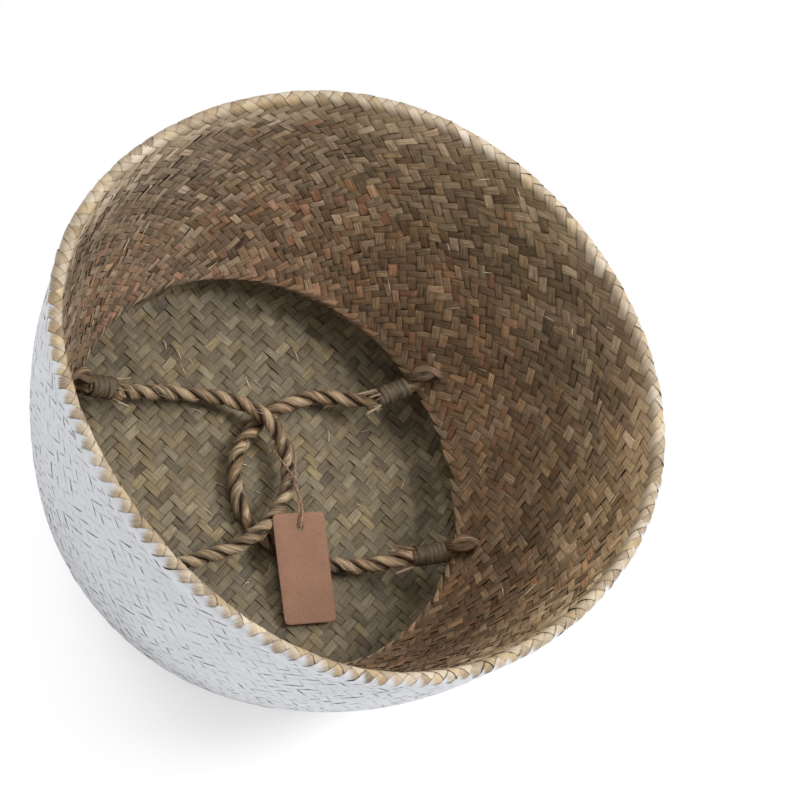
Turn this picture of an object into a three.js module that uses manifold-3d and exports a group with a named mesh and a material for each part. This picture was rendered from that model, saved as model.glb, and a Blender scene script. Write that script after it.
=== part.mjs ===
// Seagrass belly basket with its upper half folded down inside it: painted lower wall, rolled rim,
// natural inner wall, woven base, two bound rope handles and a blank card tag on a twine.
// Millimetres, +Z up, origin on the table under the middle of the basket, +X towards the right handle.
import * as THREE from "three";
import { mergeVertices } from "three/addons/utils/BufferGeometryUtils.js";
import Module from "manifold-3d";

const wasm = await Module();
wasm.setup();
const degree = Math.PI / 180;

// Basket
const rimRadius = 190; // to the middle of the rolled rim
const foldHeight = 166; // middle of the rolled rim, on average
const baseRadius = 139;
const cornerRadius = 9; // where the base turns up into the wall
const cornerReach = 18; // the first level of the wall above that turn
const matThickness = 4;
const wallThickness = 2.6;
const foldGap = 1.2; // half the slit that the fold leaves between the two walls
const wallTopInset = 1; // the painted wall just under its lip, inside the middle of the rim
const lipHeight = 16; // the last of the painted wall leans out to the rim
const bellyPower = 1.8; // how full the painted wall is
const neckRadius = 129.5; // the mouth of the basket, now the lower edge of the inner wall
const neckHeight = 32;
const neckShift = -2.5; // the folded half sits a little to the left
const funnelPower = 1.15; // how full the inner wall is
const hemWidth = 8;
const hemThickness = 4.2;
const seam = 0.3; // between pieces that touch

// The rim isn't round or level: [size, lobes, direction of the first crest in degrees]
const ovalSwell = 7.8;
const threeLobeSwell = 2.3;
const saddleWave = 6.4;
const threeLobeWave = 6.1;
const rimSwells = [
  [ovalSwell, 2, 13.6],
  [threeLobeSwell, 3, 9.7],
];
const rimWaves = [
  [saddleWave, 2, 49.1],
  [threeLobeWave, 3, -36.6],
];
const settlePower = 1.5; // how soon the walls lose the rim's unevenness

// Handles
const handleSpread = 115; // between the two ends of one handle
const hingeRise = 7.2; // hinge line above the neck edge
const ropeRadius = 4.8;
const eyeThickness = 3; // the rope's strands lie side by side where they pass through the wall
const eyeWidth = 7.6;
const eyeSlack = 0.8;
const eyeHoleSlack = 0.6;
const boundRadius = 6; // rope and tail under the whipping
const boundSeat = 1; // the whipping starts this far outside the eye
const restTilt = 18; // how far the bound ends slope down at rest
const rightUpperTurn = 15; // this end lies askew
const tailRadius = 2.8;
const tailLength = 8; // past the bound end
const tailBuried = 3;
const tailSplay = 16;

// Whippings
const strandWidth = 3;
const strandThickness = 1.3;
const turnGap = 0.5;
const windingTurns = 5;
const windingSeat = 0.35;

// Tag and twine
const tagWidth = 36;
const tagLength = 68;
const tagThickness = 0.8;
const tagCorner = 3;
const tagHoleRadius = 2.2;
const tagHoleInset = 9; // from the top edge
const tagHoleAt = new THREE.Vector3(16.8, -33.6, 23.3);
const tagSlope = 15;
const tagTurn = 2;
const twineRadius = 0.6;
const knotRadius = 1.8;
const knotAt = new THREE.Vector3(21.2, -1.6, 23);

// Faces round a circle
const basketFaces = 60;
const ropeSides = 8;
const ropeSteps = 46;
const eyeFaces = 24;
const windingFaces = 18;
const strandSides = 6;

const rollRadius = wallThickness + foldGap;
const wallTopRadius = rimRadius - wallTopInset;
const handleHalf = handleSpread / 2;
const pitch = strandWidth + turnGap;
const windingLength = windingTurns * pitch + strandWidth;

// The middle of each rope at rest, between its bound ends. The left rope lies over the right one.
const leftRoute = [
  [-79, 58.6, 22.3],
  [-63.2, 60.2, 18],
  [-48, 61, 15.5],
  [-33, 60.5, 14.3],
  [-19, 58.5, 14.8],
  [-6.8, 54.8, 16.5],
  [2, 50, 18.6],
  [9, 45, 20],
  [14.5, 39.3, 20.2],
  [18.5, 33, 19.2],
  [21.2, 26.5, 18],
  [22.7, 19, 16.8],
  [22.9, 11, 16],
  [20.9, 1.4, 15.8],
  [17, -7.5, 16.4],
  [11, -15.5, 17.6],
  [3.8, -23.2, 19.2],
  [-5, -30.8, 20.2],
  [-15, -37.5, 19.8],
  [-25, -42.3, 18.2],
  [-36, -45.6, 16.8],
  [-48, -48.5, 16.6],
  [-61.6, -52.2, 18],
  [-77, -55.8, 22],
];
const rightRoute = [
  [74, 51.8, 22.6],
  [62.5, 56, 17.4],
  [51.6, 57.7, 13.6],
  [41.4, 56, 11.2],
  [30.5, 52.6, 9.8],
  [21.1, 47.8, 9.3],
  [13.5, 42.6, 9.3],
  [6.5, 37, 9.6],
  [-1, 30, 10.3],
  [-7, 21.8, 11],
  [-11, 13, 11.4],
  [-13.3, 4.2, 11.5],
  [-14.2, -4.2, 11.3],
  [-13.6, -12, 10.8],
  [-11.6, -19.5, 10],
  [-7.8, -26.2, 9.4],
  [-2.5, -32.4, 9.3],
  [5, -38.8, 9.3],
  [13, -43.6, 9.3],
  [21.5, -47.5, 9.3],
  [31, -50.4, 9.5],
  [41, -53.2, 10.6],
  [50, -55.6, 12.6],
  [60, -57.2, 15.8],
  [74, -57.6, 22],
];
// The twine goes once round the left rope, from its knot and back to it
const turnRoute = [
  [20.2, 1.6, 23],
  [18.5, 8, 20.9],
  [16.9, 16, 17.4],
  [16.9, 23, 13.9],
  [20.7, 27.6, 12],
  [25.7, 28, 14.8],
  [27.7, 25, 18.7],
  [27, 17, 21.4],
  [24.4, 8, 22.1],
  [22.4, 1.6, 23],
];
// Its two legs leave the knot and meet in the tag's hole
const legRoute = [
  [20.3, -4.4, 23.4],
  [20.3, -12, 25.4],
  [19.6, -20, 27.4],
  [18.5, -26.5, 28],
  [17, -31.9, 26.7],
  [16.7, -33.6, 23.8],
  [17, -30.8, 22],
  [18.7, -24.5, 23],
  [20.9, -16, 22.6],
  [22, -9.5, 22.3],
  [22.2, -4.4, 22.6],
];

const smooth = (t) => t * t * (3 - 2 * t);
const between = (t) => Math.min(1, Math.max(0, t));

function ripple(swells, turn) {
  const wave = ([size, lobes, crest]) => size * Math.cos(lobes * (turn - crest * degree));
  return swells.reduce((sum, swell) => sum + wave(swell), 0);
}

// Moves a point of the round basket to where the uneven one has it. grip is 1 at the rim, 0 far from it.
function settled(point, grip, shift) {
  const turn = Math.atan2(point.y, point.x);
  const stretch = 1 + (grip * ripple(rimSwells, turn)) / rimRadius;
  const rise = grip * ripple(rimWaves, turn);
  point.set(point.x * stretch + shift, point.y * stretch, point.z + rise);
}

const lowerGrip = (z) => between(z / foldHeight) ** settlePower;
const foldedShare = (z) => between((foldHeight - z) / (foldHeight - neckHeight));
const upperGrip = (z) => (1 - foldedShare(z)) ** settlePower;

// Outside of the painted wall and inside of the folded one
function lowerRadius(z) {
  const full = 1 - (1 - between(z / foldHeight)) ** bellyPower;
  const lip = smooth(between((z - foldHeight + lipHeight) / lipHeight));
  return baseRadius + (wallTopRadius - baseRadius) * full + (rimRadius + rollRadius - wallTopRadius) * lip;
}

function upperRadius(z) {
  const top = rimRadius - rollRadius;
  return top - (top - neckRadius) * foldedShare(z) ** funnelPower;
}

// Bare positions with shared vertices merged, no folded faces and the faces turned outwards
function tidied(geometry) {
  const flat = geometry.index ? geometry.toNonIndexed() : geometry;
  const bare = new THREE.BufferGeometry().setAttribute("position", flat.getAttribute("position"));
  const merged = mergeVertices(bare, 1e-3);
  const points = merged.getAttribute("position");
  const faces = [];
  let volume = 0;
  for (let i = 0; i < merged.index.count; i += 3) {
    const face = [0, 1, 2].map((k) => merged.index.getX(i + k));
    if (new Set(face).size < 3) continue;
    faces.push(face);
    const [a, b, c] = face.map((k) => new THREE.Vector3().fromBufferAttribute(points, k));
    volume += a.dot(b.cross(c));
  }
  const outward = volume > 0 ? faces : faces.map(([a, b, c]) => [a, c, b]);
  return merged.setIndex(outward.flat());
}

function solidOf(geometry) {
  const { index, attributes } = tidied(geometry);
  const vertProperties = new Float32Array(attributes.position.array);
  return new wasm.Manifold(
    new wasm.Mesh({ numProp: 3, vertProperties, triVerts: new Uint32Array(index.array) }),
  );
}

function geometryOf(solid) {
  const mesh = solid.getMesh();
  return new THREE.BufferGeometry()
    .setAttribute("position", new THREE.BufferAttribute(mesh.vertProperties, 3))
    .setIndex(new THREE.BufferAttribute(mesh.triVerts, 1));
}

// A ring or disc from its section, [radius, height] points, then moved by place(point)
function turned(section, place = () => {}) {
  const profile = section.map(([r, z]) => new THREE.Vector2(r, z));
  const geometry = new THREE.LatheGeometry(profile, basketFaces).rotateX(90 * degree);
  const points = geometry.getAttribute("position");
  const point = new THREE.Vector3();
  for (let i = 0; i < points.count; i++) {
    place(point.fromBufferAttribute(points, i));
    points.setXYZ(i, point.x, point.y, point.z);
  }
  return tidied(geometry);
}

function tubeAlong(route, radius, sides, steps) {
  const curve = new THREE.CatmullRomCurve3(route.map((p) => new THREE.Vector3(...p)));
  const section = new THREE.Shape();
  section.setFromPoints(
    Array.from({ length: sides }, (_, k) => {
      const turn = (k * 2 * Math.PI) / sides;
      return new THREE.Vector2(radius * Math.cos(turn), radius * Math.sin(turn));
    }),
  );
  return tidied(new THREE.ExtrudeGeometry(section, { steps, extrudePath: curve }));
}

// A round bar along +X from one distance to another
function bar(radius, from, to, sides) {
  return new THREE.CylinderGeometry(radius, radius, to - from, sides)
    .rotateZ(-90 * degree)
    .translate((from + to) / 2, 0, 0);
}

function heights(from, to, count) {
  return Array.from({ length: count }, (_, k) => from + ((to - from) * k) / (count - 1));
}

// Woven body
function baseMat() {
  const edge = baseRadius - cornerRadius - seam;
  return turned([
    [0, 0],
    [edge, 0],
    [edge, matThickness],
    [0, matThickness],
  ]);
}

function lowerWall() {
  const top = foldHeight - seam;
  const inward = wallThickness * 1.12; // level distance through the sloping wall
  const turn = (r, z) => {
    const start = new THREE.Vector2(baseRadius - cornerRadius, z);
    const bend = new THREE.Vector2(r, z);
    const end = new THREE.Vector2(lowerRadius(cornerRadius + z) - (baseRadius - r), cornerRadius + z);
    return new THREE.QuadraticBezierCurve(start, bend, end).getPoints(3).map((p) => [p.x, p.y]);
  };
  const straight = heights(cornerRadius + cornerReach, foldHeight - lipHeight, 5);
  const levels = [...straight, foldHeight - lipHeight / 2, top];
  const outside = levels.map((z) => [lowerRadius(z), z]);
  const inside = levels.map((z) => [lowerRadius(z) - inward, z]).reverse();
  const section = [
    ...turn(baseRadius, 0),
    ...outside,
    ...inside,
    ...turn(baseRadius - inward, matThickness).reverse(),
  ];
  return turned([...section, section[0]], (p) => settled(p, lowerGrip(p.z), 0));
}

function rimFold() {
  const arc = heights(0, 180, 8).map((a) => [
    rimRadius + rollRadius * Math.cos(a * degree),
    foldHeight + rollRadius * Math.sin(a * degree),
  ]);
  return turned([...arc, arc[0]], (p) => settled(p, 1, 0));
}

const hemTop = neckHeight + hemWidth * 0.87; // the hem slopes with the wall
const inFold = (p) => settled(p, upperGrip(p.z), neckShift * foldedShare(p.z));

function upperWall() {
  const outward = wallThickness * 1.12;
  const levels = heights(hemTop + seam, foldHeight - seam, 7);
  const inside = levels.map((z) => [upperRadius(z), z]);
  const outside = levels.map((z) => [upperRadius(z) + outward, z]);
  const section = [...outside, ...inside.reverse()];
  return turned([...section, section[0]], inFold);
}

const hemLevel = hemThickness * 1.12;
const hemFace = (z) => upperRadius(z) - (hemThickness - wallThickness) / 2;
const hemSection = [
  [hemFace(neckHeight) + hemLevel * 0.3, neckHeight],
  [hemFace(neckHeight) + hemLevel * 0.7, neckHeight],
  [hemFace(neckHeight + 1.5) + hemLevel, neckHeight + 1.5],
  [hemFace(hemTop) + hemLevel, hemTop],
  [hemFace(hemTop), hemTop],
  [hemFace(neckHeight + 1.5), neckHeight + 1.5],
];
const neckHem = () => turned([...hemSection, hemSection[0]], inFold);

// Handles. side is 1 for the right handle and -1 for the left one. end is 1 for a handle's upper end
// and -1 for its lower one.
const hingeHeight = neckHeight + hingeRise;
const hingeCentre = upperRadius(hingeHeight) + wallThickness / 2;
const hingeReach = Math.sqrt(hingeCentre ** 2 - handleHalf ** 2);
const hingeX = (side) => side * hingeReach + neckShift * foldedShare(hingeHeight);
// An eye swings round the hinge line clear of the hem's corners over its whole width
const edgeReach = Math.max(
  ...[-1, 0, 1].flatMap((across) => {
    const y = handleHalf + (across * eyeWidth) / 3;
    return hemSection.map(([r, z]) => {
      const apart = hingeReach - Math.sqrt(r * r - y * y);
      return z < hingeHeight ? Math.hypot(apart, hingeHeight - z) : 0;
    });
  }),
);
const eyeRadius = edgeReach + eyeSlack + eyeThickness / 2;
const boundStart = eyeRadius - eyeThickness / 2; // from the hinge line
const windingStart = Math.sqrt((eyeRadius + eyeThickness / 2) ** 2 - boundRadius ** 2) + boundSeat;
const boundEnd = windingStart + windingLength + seam;

function endTurn(side, end) {
  return side > 0 && end > 0 ? rightUpperTurn : 0;
}

// Puts a bound end's own frame, +X from the hinge line along the rope, in its place
function atEnd(object, side, end) {
  object.position.set(hingeX(side), end * handleHalf, hingeHeight);
  const facing = side > 0 ? 180 : 0;
  object.rotation.set(0, restTilt * degree, (facing + endTurn(side, end)) * degree, "ZYX");
  object.updateMatrix();
  return object;
}

function onEnd(distance, side, end) {
  const frame = atEnd(new THREE.Object3D(), side, end);
  return new THREE.Vector3(distance, 0, 0).applyMatrix4(frame.matrix).toArray();
}

function eye(side, end, slack) {
  const radius = eyeThickness / 2 + slack;
  return new THREE.TorusGeometry(eyeRadius, radius, ropeSides, eyeFaces)
    .rotateX(90 * degree)
    .scale(1, (eyeWidth / 2 + slack) / radius, 1)
    .translate(hingeX(side), end * handleHalf, hingeHeight);
}

// One rope: its run, and at each end the bound part, the eye through the wall and the cut tail
function handleRope(side, route) {
  const ends = [1, -1];
  const inside = (boundStart + boundEnd) / 2;
  const whole = [
    onEnd(inside, side, 1),
    onEnd(boundEnd + 1, side, 1),
    ...route,
    onEnd(boundEnd + 1, side, -1),
    onEnd(inside, side, -1),
  ];
  let rope = solidOf(tubeAlong(whole, ropeRadius, ropeSides, ropeSteps));
  for (const end of ends) {
    const { matrix } = atEnd(new THREE.Object3D(), side, end);
    const bound = bar(boundRadius, boundStart, boundEnd, windingFaces).applyMatrix4(matrix);
    const tail = bar(tailRadius, 0, tailLength + tailBuried, ropeSides)
      .rotateZ(side * end * tailSplay * degree)
      .rotateY(-tailSplay * 0.3 * degree)
      .translate(boundEnd - tailBuried, side * end * (boundRadius - tailRadius) * 0.7, 0)
      .applyMatrix4(matrix);
    rope = rope
      .add(solidOf(bound))
      .add(solidOf(tail))
      .add(solidOf(eye(side, end, 0)));
  }
  return geometryOf(rope);
}

function withEyeHoles(geometry) {
  let wall = solidOf(geometry);
  for (const side of [1, -1]) {
    for (const end of [1, -1]) wall = wall.subtract(solidOf(eye(side, end, eyeHoleSlack)));
  }
  return geometryOf(wall);
}

// A closed tube through rings of points, with flat ends
function tubeOfRings(rings) {
  const sides = rings[0].length;
  const faces = [];
  for (let i = 0; i < rings.length - 1; i++) {
    for (let j = 0; j < sides; j++) {
      const a = i * sides + j;
      const b = i * sides + ((j + 1) % sides);
      faces.push(a, b, a + sides, b, b + sides, a + sides);
    }
  }
  const last = (rings.length - 1) * sides;
  for (let j = 1; j < sides - 1; j++) faces.push(0, j + 1, j, last, last + j, last + j + 1);
  const points = new Float32Array(rings.flat().flatMap((p) => p.toArray()));
  return new THREE.BufferGeometry()
    .setAttribute("position", new THREE.BufferAttribute(points, 3))
    .setIndex(faces);
}

// A whipping is one flat strand wound round the bound end, +X along the rope, its ends lying straight
function windingRings() {
  const radius = boundRadius + windingSeat + strandThickness / 2;
  const steps = windingTurns * windingFaces;
  const ring = (turn, straight) => {
    const out = new THREE.Vector3(0, Math.cos(turn), Math.sin(turn));
    const onward = new THREE.Vector3(0, -Math.sin(turn), Math.cos(turn));
    const middle = new THREE.Vector3(windingStart + strandWidth / 2 + (pitch * turn) / (2 * Math.PI), 0, 0)
      .addScaledVector(out, radius)
      .addScaledVector(onward, straight);
    return Array.from({ length: strandSides }, (_, k) => {
      const a = (k * 2 * Math.PI) / strandSides;
      return middle
        .clone()
        .addScaledVector(out, (Math.sin(a) * strandThickness) / Math.sin(60 * degree) / 2)
        .add(new THREE.Vector3((Math.cos(a) * strandWidth) / 2, 0, 0));
    });
  };
  const turns = Array.from({ length: steps + 1 }, (_, k) => (k * 2 * Math.PI) / windingFaces);
  return [
    ring(turns[0], -strandWidth),
    ...turns.map((turn) => ring(turn, 0)),
    ring(turns[steps], strandWidth),
  ];
}

function leastTurnGap(rings) {
  let least = Infinity;
  rings.forEach((ring, i) => {
    for (const other of rings.slice(i + windingFaces / 2)) {
      for (const p of ring) for (const q of other) least = Math.min(least, p.distanceTo(q));
    }
  });
  return least;
}

// Tag, with the middle of its hole at the origin, its length along Y and its top edge at +Y
function tagCard() {
  const left = -tagWidth / 2;
  const right = tagWidth / 2;
  const top = tagHoleInset;
  const bottom = tagHoleInset - tagLength;
  const outline = new THREE.Shape()
    .absarc(right - tagCorner, top - tagCorner, tagCorner, 0, 90 * degree)
    .absarc(left + tagCorner, top - tagCorner, tagCorner, 90 * degree, 180 * degree)
    .absarc(left + tagCorner, bottom + tagCorner, tagCorner, 180 * degree, 270 * degree)
    .absarc(right - tagCorner, bottom + tagCorner, tagCorner, 270 * degree, 360 * degree);
  outline.holes.push(new THREE.Path().absarc(0, 0, tagHoleRadius, 0, 2 * Math.PI, true));
  return new THREE.ExtrudeGeometry(outline, { depth: tagThickness, bevelEnabled: false, curveSegments: 5 });
}

function knottedTurn() {
  const turn = solidOf(tubeAlong(turnRoute, twineRadius, strandSides, 40));
  const knot = solidOf(new THREE.SphereGeometry(knotRadius, 10, 6).translate(...knotAt.toArray()));
  const tucks = [turnRoute[0], turnRoute[turnRoute.length - 1]].map((start) => {
    const into = new THREE.Vector3(...start).lerp(knotAt, -0.1).toArray();
    return solidOf(tubeAlong([into, knotAt.toArray()], twineRadius, strandSides, 1));
  });
  return geometryOf(tucks.reduce((whole, tuck) => whole.add(tuck), turn.add(knot)));
}

function piece(name, geometry, color, roughness = 0.9) {
  const mesh = new THREE.Mesh(geometry, new THREE.MeshStandardMaterial({ color, roughness, metalness: 0 }));
  mesh.name = name;
  return mesh;
}

function handle(side, name, route) {
  const group = new THREE.Group();
  group.add(piece(`${name}_handle_rope`, handleRope(side, route), 0x8f7650));
  const rings = windingRings();
  for (const [end, where] of [
    [1, "upper"],
    [-1, "lower"],
  ]) {
    const whipping = piece(`${name}_${where}_whipping`, tidied(tubeOfRings(rings)), 0x6e5d40);
    group.add(atEnd(whipping, side, end));
  }
  return group;
}

const basket = new THREE.Group();
basket.add(
  piece("base_mat", baseMat(), 0x6f6a4c),
  piece("lower_wall", lowerWall(), 0xdcdde0, 0.7),
  piece("rim_fold", rimFold(), 0xb39b73),
  piece("upper_wall", withEyeHoles(upperWall()), 0x7f6546),
  piece("neck_hem", neckHem(), 0x86694a),
);

const leftHandle = handle(-1, "left", leftRoute);
leftHandle.add(piece("tag_twine_turn", knottedTurn(), 0x7b6145));

const tagSwing = new THREE.Group();
const card = piece("hang_tag", tagCard(), 0xa9764f, 0.8);
card.position.copy(tagHoleAt);
card.rotation.set(tagSlope * degree, 0, tagTurn * degree, "ZYX");
tagSwing.add(card, piece("tag_twine_legs", tubeAlong(legRoute, twineRadius, strandSides, 44), 0x7b6145));
leftHandle.add(tagSwing);

basket.add(leftHandle, handle(1, "right", rightRoute));
console.log(`Least gap between the turns of a whipping: ${leastTurnGap(windingRings()).toFixed(2)} mm`);

export default basket;
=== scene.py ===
# Seagrass belly basket with its upper half folded down inside, bound rope handles and a blank card tag
import math

import bmesh
import bpy
import numpy as np
from mathutils import Matrix, Vector


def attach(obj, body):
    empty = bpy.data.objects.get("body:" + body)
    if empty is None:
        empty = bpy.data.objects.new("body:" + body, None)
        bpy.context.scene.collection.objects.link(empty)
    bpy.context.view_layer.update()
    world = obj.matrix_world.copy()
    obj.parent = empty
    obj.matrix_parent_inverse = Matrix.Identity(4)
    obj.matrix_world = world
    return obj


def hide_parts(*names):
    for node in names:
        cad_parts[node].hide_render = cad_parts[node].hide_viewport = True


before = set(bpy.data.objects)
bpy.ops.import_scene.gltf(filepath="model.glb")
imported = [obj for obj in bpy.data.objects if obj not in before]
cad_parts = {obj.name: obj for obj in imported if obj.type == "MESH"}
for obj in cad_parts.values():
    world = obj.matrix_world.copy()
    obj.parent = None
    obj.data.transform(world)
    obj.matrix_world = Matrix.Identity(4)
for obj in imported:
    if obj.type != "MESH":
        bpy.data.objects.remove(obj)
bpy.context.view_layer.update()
print("frame loaded")

view = {
    "place": (-1.12874, -0.83096, 1.96443),
    "right": (0.86483, -0.21563, 0.45340),
    "up": (0.00758, 0.90858, 0.41765),
    "back": (-0.50201, -0.35776, 0.78740),
    "lens": 176.7,
    "clipEnd": 20,
}


def placed(name, data, matrix=Matrix()):
    made = bpy.data.objects.new(name, data)
    made.matrix_world = matrix
    bpy.context.collection.objects.link(made)
    return made


def addCamera():
    camera = bpy.data.cameras.new("camera")
    camera.lens = view["lens"]
    camera.clip_end = view["clipEnd"]
    turn = Matrix((view["right"], view["up"], view["back"])).transposed()
    matrix = Matrix.Translation(view["place"]) @ turn.to_4x4()
    bpy.context.scene.camera = placed("camera", camera, matrix)


addCamera()
print("camera placed")


# Small sums on rows of points


def stacked(*columns):
    return np.stack(np.broadcast_arrays(*columns), axis=-1)


def unit(vectors):
    return vectors / np.linalg.norm(vectors, axis=1)[:, None]


def runningSum(steps):
    return np.concatenate([[0], np.cumsum(steps)])


def distances(path):
    return runningSum(np.linalg.norm(np.diff(path, axis=0), axis=1))


def metres(*points):
    # Routes are written in millimetres
    return [tuple(value / 1000 for value in point) for point in points]


def polar(radius, turn):
    return radius * np.cos(turn), radius * np.sin(turn)


def picked(corners, share):
    # Between the corners of a list, by the share of the way through it
    k = share * (len(corners) - 1)
    return [np.interp(k, np.arange(len(corners)), column) for column in np.transpose(corners)]


# Mesh making: a flat grid is laid out by its operator and then wrapped where it belongs


def toMesh(made, name):
    mesh = bpy.data.meshes.new(name)
    made.to_mesh(mesh)
    made.free()
    return mesh


def gridMesh(along, across, place, seams=True, capped=False, reach=1.0):
    made = bmesh.new()
    strand = made.loops.layers.uv.new("strand")
    bmesh.ops.create_grid(made, x_segments=along, y_segments=across, size=0.5, calc_uvs=True)
    for face in made.faces:
        for loop in face.loops:
            loop[strand].uv.x *= reach
    flat = np.array([vert.co for vert in made.verts]) + 0.5
    for vert, spot in zip(made.verts, place(flat[:, 0], flat[:, 1])):
        vert.co = spot
    if seams:
        bmesh.ops.remove_doubles(made, verts=made.verts, dist=1e-6)
        if capped:
            bmesh.ops.holes_fill(made, edges=[edge for edge in made.edges if edge.is_boundary])
        bmesh.ops.recalc_face_normals(made, faces=made.faces)
    for face in made.faces:
        face.smooth = True
    return toMesh(made, "grid")


def joined(name, meshes):
    made = bmesh.new()
    for mesh in meshes:
        made.from_mesh(mesh)
    return toMesh(made, name)


def cornersOf(mesh):
    corners = np.empty(len(mesh.vertices) * 3)
    mesh.vertices.foreach_get("co", corners)
    return corners.reshape(-1, 3)


def setCorners(mesh, corners):
    mesh.vertices.foreach_set("co", corners.astype(np.float32).ravel())


def setAttributes(mesh, **values):
    # A single number goes on every point
    for name, value in values.items():
        points = mesh.attributes.new(name, "FLOAT", "POINT").data
        points.foreach_set("value", np.full(len(points), value, dtype=np.float32))


def useSecondFinish(mesh):
    mesh.polygons.foreach_set("material_index", np.ones(len(mesh.polygons), dtype=np.int32))


def addPiece(name, meshes, looks, body, node):
    piece = placed(name, joined(name, meshes))
    for look in looks:
        piece.data.materials.append(finishes[look])
    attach(piece, body)
    if node:
        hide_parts(node)
    return piece


# Shader maths: a wire is one socket, and sums on wires add Math nodes


class Wire:
    def __init__(self, nodes, socket):
        self.nodes = nodes
        self.socket = socket

    def math(self, operation, *others):
        return self.nodes.node("Math", {"operation": operation}, dict(enumerate((self, *others))))

    def __add__(self, other):
        return self.math("ADD", other)

    def __sub__(self, other):
        return self.math("SUBTRACT", other)

    def __mul__(self, other):
        return self.math("MULTIPLY", other)

    def __pow__(self, other):
        return self.math("POWER", other)

    def __rsub__(self, other):
        return self.math("MULTIPLY_ADD", -1, other)

    __radd__ = __add__
    __rmul__ = __mul__

    def clamped(self, low, high):
        return self.nodes.node("Clamp", {}, {0: self, 1: low, 2: high})

    def spread(self, fromLow, fromHigh, toLow=0, toHigh=1):
        sockets = {0: self, 1: fromLow, 2: fromHigh, 3: toLow, 4: toHigh}
        return self.nodes.node("MapRange", {"interpolation_type": "SMOOTHSTEP"}, sockets)

    def edges(self, power):
        # From 0 in the middle to 1 at both ends of the range from 0 to 1
        return (self * 2 - 1).math("ABSOLUTE") ** power


class Nodes:
    def __init__(self, tree):
        self.tree = tree

    def plug(self, socket, value):
        if isinstance(value, Wire):
            self.tree.links.new(value.socket, socket)
        elif isinstance(value, tuple) and len(value) == 3 and socket.type == "RGBA":
            socket.default_value = (*value, 1)
        else:
            socket.default_value = value

    def node(self, kind, settings, sockets, out=0):
        made = self.tree.nodes.new("ShaderNode" + kind)
        for name, value in settings.items():
            if name == "stops":
                ramp = made.color_ramp
                while len(ramp.elements) < len(value):
                    ramp.elements.new(0.5)
                for element, (place, colour) in zip(ramp.elements, value):
                    element.position = place
                    element.color = (*colour, 1)
            else:
                setattr(made, name, value)
        for name, value in sockets.items():
            self.plug(made.inputs[name], value)
        return Wire(self, made.outputs[out])

    def mixed(self, share, first, second, blend="MIX"):
        settings = {"data_type": "RGBA", "blend_type": blend}
        return self.node("Mix", settings, {0: share, 6: first, 7: second}, out=2)

    def times(self, colour, factor):
        if isinstance(factor, Wire):
            factor = self.vector(factor, factor, factor)
        return self.mixed(1.0, colour, factor, "MULTIPLY")

    def ramp(self, stops, value):
        return self.node("ValToRGB", {"stops": stops}, {0: value})

    def noise(self, vector, scale, detail=2, roughness=0.5):
        sockets = {"Vector": vector, "Scale": scale, "Detail": detail, "Roughness": roughness}
        return self.node("TexNoise", {}, sockets)

    def vector(self, x, y, z=0.0):
        return self.node("CombineXYZ", {}, {0: x, 1: y, 2: z})

    def attribute(self, name):
        return self.node("Attribute", {"attribute_name": name}, {}, out=2)

    def objectPlace(self):
        return self.node("TexCoord", {}, {}, out=3)

    def facing(self, direction):
        # How far out a point lies in a direction
        sockets = {0: self.objectPlace(), 1: direction}
        return self.node("VectorMath", {"operation": "DOT_PRODUCT"}, sockets, out=1)

    def strandPlace(self):
        uv = self.node("UVMap", {"uv_map": "strand"}, {})
        split = self.node("SeparateXYZ", {}, {0: uv})
        return split, Wire(self, split.socket.node.outputs[1])

    def bumped(self, height, strength, distance):
        sockets = {"Strength": strength, "Distance": distance, "Height": height}
        return self.node("Bump", {}, sockets)

    def seen(self):
        # 1 for all that the camera sees, also in a mirror or through glass
        camera, glossy, through = (self.node("LightPath", {}, {}, out=kind) for kind in (0, 3, 6))
        return (camera + glossy + through).clamped(0, 1)


class Finish(Nodes):
    def __init__(self, name):
        self.material = bpy.data.materials.new(name)
        self.material.use_nodes = True
        super().__init__(self.material.node_tree)
        self.shader = self.tree.nodes["Principled BSDF"]

    def finished(self, colour, roughness, normal=None):
        self.plug(self.shader.inputs["Base Color"], colour)
        self.plug(self.shader.inputs["Roughness"], roughness)
        if normal:
            self.plug(self.shader.inputs["Normal"], normal)
        self.shader.inputs["Specular IOR Level"].default_value = 0.3
        return self.material


naturalStops = [
    (0.08, (0.043, 0.031, 0.020)),
    (0.42, (0.132, 0.100, 0.067)),
    (0.70, (0.225, 0.176, 0.124)),
    (0.98, (0.42, 0.35, 0.26)),
]
warmStops = [
    (0.08, (0.072, 0.038, 0.021)),
    (0.42, (0.205, 0.112, 0.060)),
    (0.70, (0.35, 0.205, 0.118)),
    (0.98, (0.55, 0.39, 0.25)),
]
rimStops = [
    (0.08, (0.115, 0.078, 0.046)),
    (0.45, (0.34, 0.262, 0.175)),
    (0.92, (0.60, 0.515, 0.40)),
]
oliveStops = [
    (0.08, (0.050, 0.038, 0.023)),
    (0.42, (0.121, 0.094, 0.057)),
    (0.70, (0.185, 0.149, 0.090)),
    (0.98, (0.31, 0.256, 0.158)),
]
ropeStops = [
    (0.05, (0.016, 0.011, 0.006)),
    (0.38, (0.083, 0.058, 0.033)),
    (0.66, (0.196, 0.137, 0.080)),
    (0.95, (0.43, 0.33, 0.21)),
]
ropeWarmStops = [
    (0.05, (0.019, 0.010, 0.005)),
    (0.38, (0.097, 0.058, 0.030)),
    (0.66, (0.222, 0.136, 0.073)),
    (0.95, (0.45, 0.315, 0.19)),
]
eyeStops = [
    (0.05, (0.018, 0.011, 0.005)),
    (0.38, (0.085, 0.052, 0.028)),
    (0.66, (0.19, 0.118, 0.066)),
    (0.95, (0.40, 0.28, 0.165)),
]
twineStops = [
    (0.1, (0.08, 0.045, 0.030)),
    (0.5, (0.27, 0.165, 0.120)),
    (0.9, (0.46, 0.31, 0.24)),
]
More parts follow.
